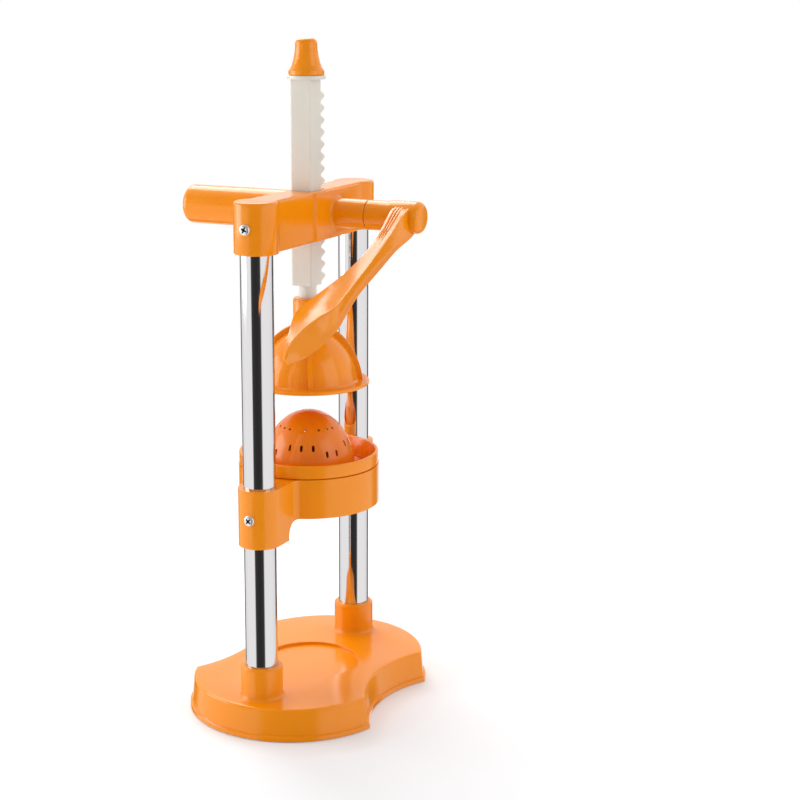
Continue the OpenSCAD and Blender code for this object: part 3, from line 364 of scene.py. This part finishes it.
# The recess is two crossed bars and a pointed well, cut out of the head and marked, so that the finish paints
# their faces dark as painted shade.
wing = add(screw_tree, "ShaderNodeCombineXYZ", {
    0: sum_of("MULTIPLY", given["Head radius"], 1.16), 1: sum_of("MULTIPLY", given["Head radius"], 0.3),
    2: sum_of("MULTIPLY", given["Head height"], 1.3)})
sunk = add(screw_tree, "ShaderNodeCombineXYZ", {2: sum_of("MULTIPLY", given["Head height"], 0.95)})
wing_one = add(screw_tree, "GeometryNodeTransform", {
    0: add(screw_tree, "GeometryNodeMeshCube", {0: wing.outputs[0]}).outputs[0],
    "Translation": sunk.outputs[0]})
wing_two = add(screw_tree, "GeometryNodeTransform", {0: wing_one.outputs[0]}, Rotation=(0, 0, math.pi / 2))
well = add(screw_tree, "GeometryNodeMeshCone", {
    "Radius Top": sum_of("MULTIPLY", given["Head radius"], 0.34),
    "Depth": given["Head height"]}, Vertices=24, Radius_Bottom=0.0001)
well_low = add(screw_tree, "GeometryNodeTransform", {
    0: well.outputs[0], "Translation": add(screw_tree, "ShaderNodeCombineXYZ", {
        2: sum_of("MULTIPLY", given["Head height"], 0.12)}).outputs[0]})
marked = []
for cutter in (wing_one, wing_two, well_low):
    mark = add(screw_tree, "GeometryNodeStoreNamedAttribute", {0: cutter.outputs[0]}, data_type="FLOAT",
               domain="FACE")
    mark.inputs["Name"].default_value = "recess"
    mark.inputs["Value"].default_value = 1.0
    marked.append(mark)
head_cut = add(screw_tree, "GeometryNodeMeshBoolean", {0: pan_closed.outputs[0]}, operation="DIFFERENCE",
               solver="EXACT")
for cutter in marked:
    screw_tree.links.new(cutter.outputs[0], head_cut.inputs[1])
# The shank starts just inside the head. A copy of the screw stands on each seat, turned as it says.
shank = add(screw_tree, "GeometryNodeMeshCylinder", {
    "Radius": given["Shank radius"], "Depth": given["Shank length"]}, Vertices=32)
shank_down = add(screw_tree, "GeometryNodeTransform", {
    0: shank.outputs[0], "Translation": add(screw_tree, "ShaderNodeCombineXYZ", {
        2: sum_of("MULTIPLY", given["Shank length"], -0.499)}).outputs[0]})
one_screw = add(screw_tree, "GeometryNodeJoinGeometry")
for part in (head_cut, shank_down):
    screw_tree.links.new(part.outputs[0], one_screw.inputs[0])
turn = add(screw_tree, "GeometryNodeInputNamedAttribute", data_type="FLOAT_VECTOR")
turn.inputs["Name"].default_value = "turn"
set_in = add(screw_tree, "GeometryNodeInstanceOnPoints", {
    "Points": given["Seats"], "Instance": one_screw.outputs[0], "Rotation": turn.outputs[0]})
real = add(screw_tree, "GeometryNodeRealizeInstances", {0: set_in.outputs[0]})
corner = add(screw_tree, "GeometryNodeInputMeshEdgeAngle")
soft = add(screw_tree, "ShaderNodeMath", {0: corner.outputs[0]}, operation="LESS_THAN")
soft.inputs[1].default_value = math.radians(32)
round_edges = add(screw_tree, "GeometryNodeSetShadeSmooth", {
    0: real.outputs[0], "Shade Smooth": soft.outputs[0]}, domain="EDGE")
plated = add(screw_tree, "GeometryNodeSetMaterial", {0: round_edges.outputs[0], "Material": given["Finish"]})
add(screw_tree, "NodeGroupOutput", {0: plated.outputs[0]})


def cross_heads(name, seats, head_radius, head_height, shank_radius, shank_length):
    """Screws in the CAD node's place: each seat is its point and its turn about X, Y and Z in degrees."""
    mesh = bpy.data.meshes.new(name + "_made")
    mesh.from_pydata([seat for seat, _ in seats], [], [])
    turns = mesh.attributes.new("turn", "FLOAT_VECTOR", "POINT")
    for place, (_, turn_deg) in enumerate(seats):
        turns.data[place].vector = [math.radians(a) for a in turn_deg]
    piece = bpy.data.objects.new(name + "_made", mesh)
    scene.collection.objects.link(piece)
    maker = piece.modifiers.new("Screws", "NODES")
    maker.node_group = screw_tree
    values = {"Head radius": head_radius, "Head height": head_height, "Shank radius": shank_radius,
              "Shank length": shank_length, "Finish": zinc_with_painted_recess_shade}
    for socket in screw_tree.interface.items_tree:
        if socket.name in values:
            maker[socket.identifier] = values[socket.name]
    shaped = bpy.data.meshes.new_from_object(piece.evaluated_get(bpy.context.evaluated_depsgraph_get()))
    piece.modifiers.clear()
    piece.data = shaped
    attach(piece, frame["nodes"][name]["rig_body"])
    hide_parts(name)


cross_heads("bracket_screws", [((0, -0.0984, 0.17375), (90, 42, 0)), ((0, 0.0984, 0.17375), (-90, 20, 0))],
            0.0043, 0.0023, 0.002, 0.0082)

# ---------------------------------------------------------------- Bowl
# A thin orange moulding that drops into the bracket's ring and lifts out for washing.
# Its collar stands above the ring and its spout hangs below.

bowl = moulded("juice_bowl", 0)
bowl.data.materials.append(orange)

# ---------------------------------------------------------------- Strainer
# A perforated dome in a slightly deeper orange, loose on the bowl's ledge.
# Its slots are moulded, so their edges are a little soft.

strainer_abs = orange_abs("Deep orange ABS", "#EE840F", "#E97D0B", 0.24)
strainer = moulded("strainer_cone", 0.0003, 1)
strainer.data.materials.append(strainer_abs)

# ---------------------------------------------------------------- Head
# The orange cross-beam over both tubes, moulded with the boss that carries the crank shaft.
# It holds the pinion, and the rack slides through it.

head = moulded("head_housing", 0.0006)
head.data.materials.append(orange)
cover = moulded("pinion_cover", 0.0004)
cover.data.materials.append(orange)
cross_heads("head_screws", [((0, -0.0988, 0.39775), (90, 24, 0)), ((0, 0.0988, 0.39775), (-90, 60, 0))],
            0.0043, 0.0023, 0.002, 0.0088)
cover_screws = moulded("cover_screws", 0)
cover_screws.data.materials.append(zinc)

# ---------------------------------------------------------------- Shaft and pinion
# A ground steel shaft in two sintered bronze bushes, with a keyed eight-tooth pinion.
# A ring in a groove keeps the blind end from walking out.

bronze = bpy.data.materials.new("Sintered bronze")
bronze.use_nodes = True
tree = bronze.node_tree
tree.nodes.clear()
place = add(tree, "ShaderNodeTexCoord").outputs["Object"]
# The pores are finer than a pixel, so they are drawn coarser, 0.7 mm across.
pores = add(tree, "ShaderNodeTexNoise", {"Vector": place}, Scale=1500.0, Detail=3.0)
matt = add(tree, "ShaderNodeMapRange", {"Value": pores.outputs["Fac"]}, To_Min=0.32, To_Max=0.5)
body = add(tree, "ShaderNodeBsdfPrincipled", {"Roughness": matt.outputs[0]}, Metallic=1.0)
body.inputs["Base Color"].default_value = srgb("#B98F58")
add(tree, "ShaderNodeOutputMaterial", {"Surface": body.outputs[0]})
for name, finish, slot in (("left_bush", bronze, "bearing"), ("right_bush", bronze, "bearing"),
                           ("drive_shaft", zinc, "fastener"), ("shaft_ring", zinc, "fastener"),
                           ("pinion_gear", zinc, "fastener"), ("pinion_key", zinc, "fastener")):
    piece = moulded(name, 0)
    piece.data.materials.append(finish)

# ---------------------------------------------------------------- Rack
# A toothed bar moulded in milky nylon, with a round collar at its top.
# Light goes a little way into it, which softens the teeth.

nylon = bpy.data.materials.new("Natural nylon")
nylon.use_nodes = True
tree = nylon.node_tree
tree.nodes.clear()
place = add(tree, "ShaderNodeTexCoord").outputs["Object"]
# Milky clouds 22 mm across, and a skin that ripples every 3 mm.
cloud = add(tree, "ShaderNodeTexNoise", {"Vector": place}, Scale=45.0, Detail=3.0)
tint = add(tree, "ShaderNodeMix", {"Factor": cloud.outputs["Fac"]}, data_type="RGBA")
tint.inputs[6].default_value, tint.inputs[7].default_value = srgb("#E2DED4"), srgb("#D6D1C7")
haze = add(tree, "ShaderNodeTexNoise", {"Vector": place}, Scale=300.0, Detail=2.0)
matt = add(tree, "ShaderNodeMapRange", {"Value": haze.outputs["Fac"]}, To_Min=0.36, To_Max=0.48)
ripple = add(tree, "ShaderNodeBump", {"Height": haze.outputs["Fac"]}, Strength=0.1, Distance=0.0001)
body = add(tree, "ShaderNodeBsdfPrincipled", {"Base Color": tint.outputs[2], "Roughness": matt.outputs[0],
                                              "Normal": ripple.outputs[0]}, IOR=1.53)
body.inputs["Subsurface Weight"].default_value = 0.35
body.inputs["Subsurface Radius"].default_value = (0.004, 0.0035, 0.003)
body.inputs["Subsurface Scale"].default_value = 1.0
add(tree, "ShaderNodeOutputMaterial", {"Surface": body.outputs[0]})
rack = moulded("gear_rack", 0.0007, 3)
rack.data.materials.append(nylon)

# ---------------------------------------------------------------- Cap of the rack
# A small orange bell that stops the rack at the bottom of its stroke.
# It is pushed over a post on the rack's collar.

cap = moulded("rack_cap", 0)
cap.data.materials.append(orange)

# ---------------------------------------------------------------- Press cup
# The orange cup that presses the fruit: a flanged dome with four outer ribs and a neck.
# A screw and a washer inside hold it on the rack's stem.

cup = moulded("press_cup", 0.0004, 1)
cup.data.materials.append(orange)
for name in ("cup_screw", "cup_washer"):
    piece = moulded(name, 0)
    piece.data.materials.append(zinc)

# ---------------------------------------------------------------- Support grip
# A hollow orange grip on the head's left boss, for the hand that steadies the press.
# One screw from below holds it.

grip = moulded("grip_handle", 0)
grip.data.materials.append(orange)
grip_screw = moulded("grip_screw", 0)
grip_screw.data.materials.append(zinc)

# ---------------------------------------------------------------- Crank lever
# The orange lever on the shaft's right end, a flat arm that widens towards the hand.
# A set screw in the hub holds it on the shaft.

lever = moulded("lever_handle", 0)
lever.data.materials.append(orange)
lever_set_screw = moulded("lever_set_screw", 0)
lever_set_screw.data.materials.append(zinc)
